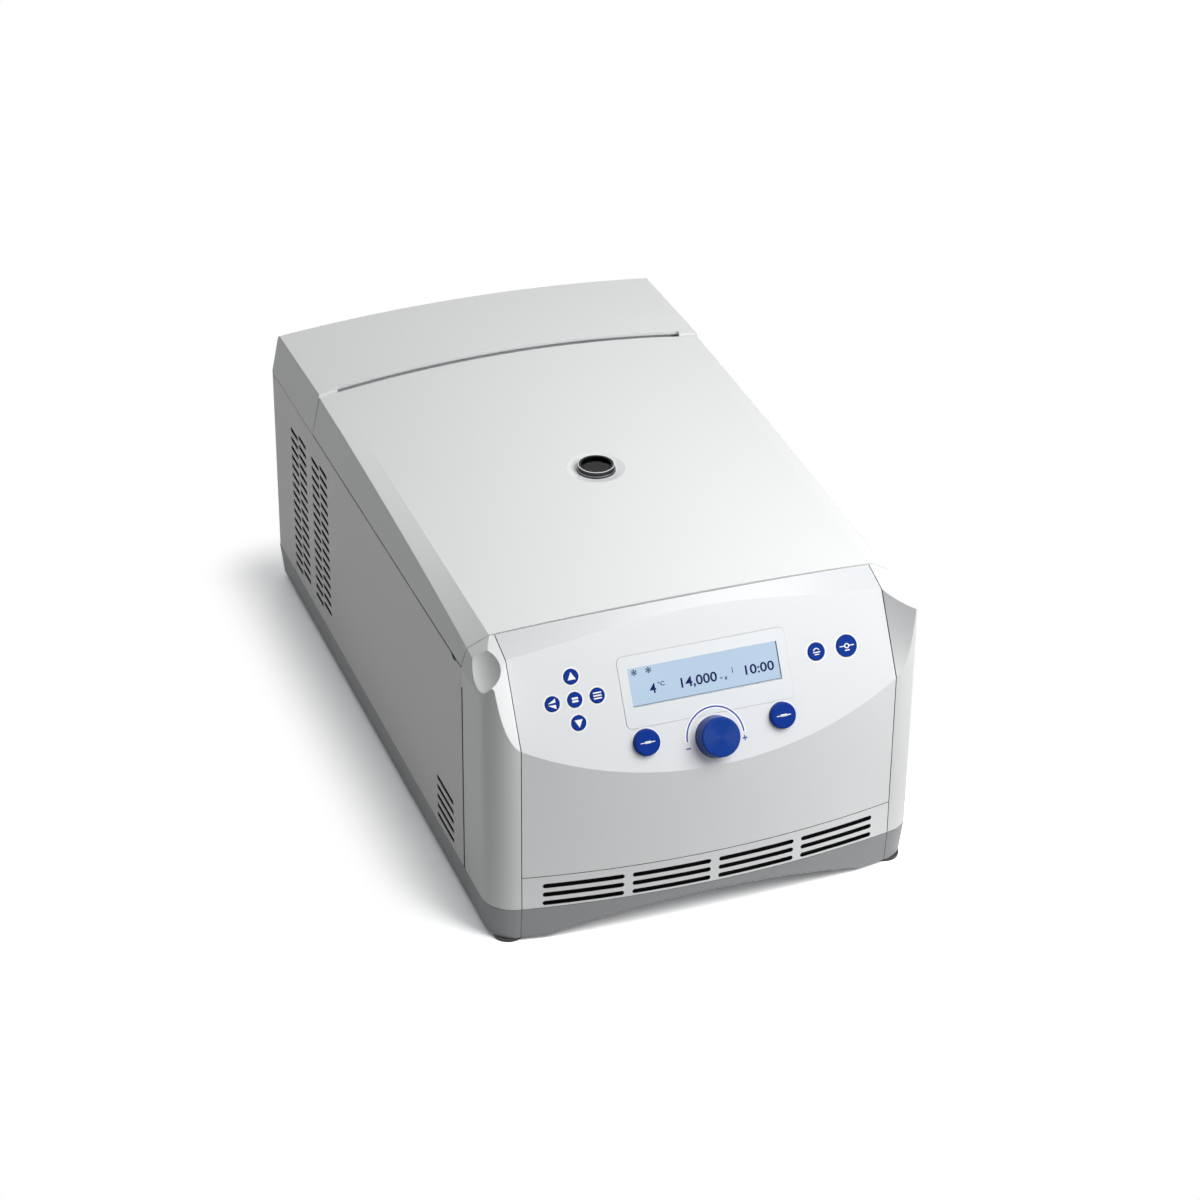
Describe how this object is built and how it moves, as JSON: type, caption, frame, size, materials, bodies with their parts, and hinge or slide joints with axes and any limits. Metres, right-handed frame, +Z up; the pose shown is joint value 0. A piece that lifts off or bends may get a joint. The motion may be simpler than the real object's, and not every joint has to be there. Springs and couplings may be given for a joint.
{
  "type": "refrigerated microcentrifuge",
  "caption": "Refrigerated bench microcentrifuge: long crowned housing, rear-hinged lid with a round sight glass, sloping control panel with display, knob and keys.",
  "frame": {"origin": "on the bench, under the middle of the whole outline", "axes": "+Z up, -Y towards the operator, +X to the operator's right"},
  "size_m": [0.38, 0.6646, 0.2781],
  "materials": {
    "housing_white": "white powder coat",
    "cover_white": "white fine-textured moulding",
    "panel_white": "pale grey smooth moulding",
    "base_grey": "mid grey moulding",
    "key_blue": "blue satin moulding",
    "window_clear": "clear polycarbonate",
    "display": "backlit liquid crystal",
    "board_green": "green circuit board",
    "steel": "brushed stainless",
    "chrome": "polished",
    "aluminium": "bead blasted and anodised",
    "copper": "drawn copper tube",
    "foam": "rigid foam",
    "rubber_black": "matt rubber",
    "motor_black": "black paint",
    "dark_plastic": "black moulding",
    "pane_glass": "clear glass"
  },
  "bodies": {
    "housing": {"base_tray": "base_grey", "chamber_bowl": "steel", "chamber_deck": "cover_white", "chamber_gasket": "rubber_black", "chamber_insulation": "foam", "compressor": "motor_black", "condenser": "aluminium", "control_board": "board_green", "deck_pillars": "steel", "display_module": "display", "display_window": "window_clear", "evaporator_coil": "copper", "fan_case": "dark_plastic", "fan_motor": "motor_black", "filter_drier": "copper", "front_panel": "panel_white", "front_vent_grille": "panel_white", "hinge_brackets": "steel", "hinge_pins": "steel", "hinge_wall": "cover_white", "latch_base": "steel", "left_corner_cover": "cover_white", "left_side_panel": "housing_white", "motor_bearings": "steel", "motor_housing": "aluminium", "motor_plate": "steel", "motor_stator": "copper", "power_entry": "dark_plastic", "power_supply": "steel", "rear_cover": "cover_white", "rear_panel": "housing_white", "refrigerant_pipes": "copper", "right_corner_cover": "cover_white", "right_side_panel": "housing_white", "rubber_feet": "rubber_black", "rubber_mounts": "rubber_black", "screws": "steel", "shaft_seal": "rubber_black"},
    "lid": {"lid_shell": "cover_white", "lid_liner": "cover_white", "lid_strikers": "steel", "sight_glass_ring": "chrome", "sight_glass_panes": "pane_glass", "hinge_arms": "steel"},
    "rotor_set": {"rotor": "aluminium", "rotor_nut": "steel", "motor_shaft": "steel"},
    "knob": {"control_knob": "key_blue"},
    "rocker": {"switch_rocker": "dark_plastic"},
    "fan": {"condenser_fan": "dark_plastic"},
    "latch": {"latch_slider": "steel"},
    "key_up_cap": {"key_up": "key_blue"},
    "key_down_cap": {"key_down": "key_blue"},
    "key_left_cap": {"key_left": "key_blue"},
    "key_right_cap": {"key_right": "key_blue"},
    "key_menu_cap": {"key_menu": "key_blue"},
    "key_short_cap": {"key_short": "key_blue"},
    "key_open_cap": {"key_open": "key_blue"},
    "button_left_cap": {"button_left": "key_blue"},
    "button_right_cap": {"button_right": "key_blue"}
  },
  "joints": [
    {"name": "lid_hinge", "type": "hinge", "parent": "housing", "child": "lid", "pos_m": [0, 0.19184, 0.261], "axis": [-1, 0, 0], "range_deg": [0, 75]},
    {"name": "rotor_spin", "type": "hinge", "parent": "housing", "child": "rotor_set", "pos_m": [0, -0.02796, 0.141], "axis": [0, 0, 1], "continuous": true},
    {"name": "knob_turn", "type": "hinge", "parent": "housing", "child": "knob", "pos_m": [0, -0.3119, 0.1748], "axis": [0, -0.8634, 0.5045], "continuous": true},
    {"name": "rocker_tilt", "type": "hinge", "parent": "housing", "child": "rocker", "pos_m": [0.13, 0.32734, 0.104], "axis": [1, 0, 0], "range_deg": [-8, 8]},
    {"name": "fan_spin", "type": "hinge", "parent": "housing", "child": "fan", "pos_m": [-0.14, 0.21634, 0.117], "axis": [1, 0, 0], "continuous": true},
    {"name": "latch_slide", "type": "slide", "parent": "housing", "child": "latch", "axis": [1, 0, 0], "range_m": [0, 0.012]},
    {"name": "key_up_press", "type": "slide", "parent": "housing", "child": "key_up_cap", "axis": [0, 0.8634, -0.5045], "range_m": [0, 0.0008], "stiffness_N_per_m": 600},
    {"name": "key_down_press", "type": "slide", "parent": "housing", "child": "key_down_cap", "axis": [0, 0.8634, -0.5045], "range_m": [0, 0.0008], "stiffness_N_per_m": 600},
    {"name": "key_left_press", "type": "slide", "parent": "housing", "child": "key_left_cap", "axis": [0, 0.8634, -0.5045], "range_m": [0, 0.0008], "stiffness_N_per_m": 600},
    {"name": "key_right_press", "type": "slide", "parent": "housing", "child": "key_right_cap", "axis": [0, 0.8634, -0.5045], "range_m": [0, 0.0008], "stiffness_N_per_m": 600},
    {"name": "key_menu_press", "type": "slide", "parent": "housing", "child": "key_menu_cap", "axis": [0, 0.8634, -0.5045], "range_m": [0, 0.0008], "stiffness_N_per_m": 600},
    {"name": "key_short_press", "type": "slide", "parent": "housing", "child": "key_short_cap", "axis": [0, 0.8634, -0.5045], "range_m": [0, 0.0008], "stiffness_N_per_m": 600},
    {"name": "key_open_press", "type": "slide", "parent": "housing", "child": "key_open_cap", "axis": [0, 0.8634, -0.5045], "range_m": [0, 0.0008], "stiffness_N_per_m": 600},
    {"name": "button_left_press", "type": "slide", "parent": "housing", "child": "button_left_cap", "axis": [0, 0.8634, -0.5045], "range_m": [0, 0.0012], "stiffness_N_per_m": 600},
    {"name": "button_right_press", "type": "slide", "parent": "housing", "child": "button_right_cap", "axis": [0, 0.8634, -0.5045], "range_m": [0, 0.0012], "stiffness_N_per_m": 600}
  ]
}
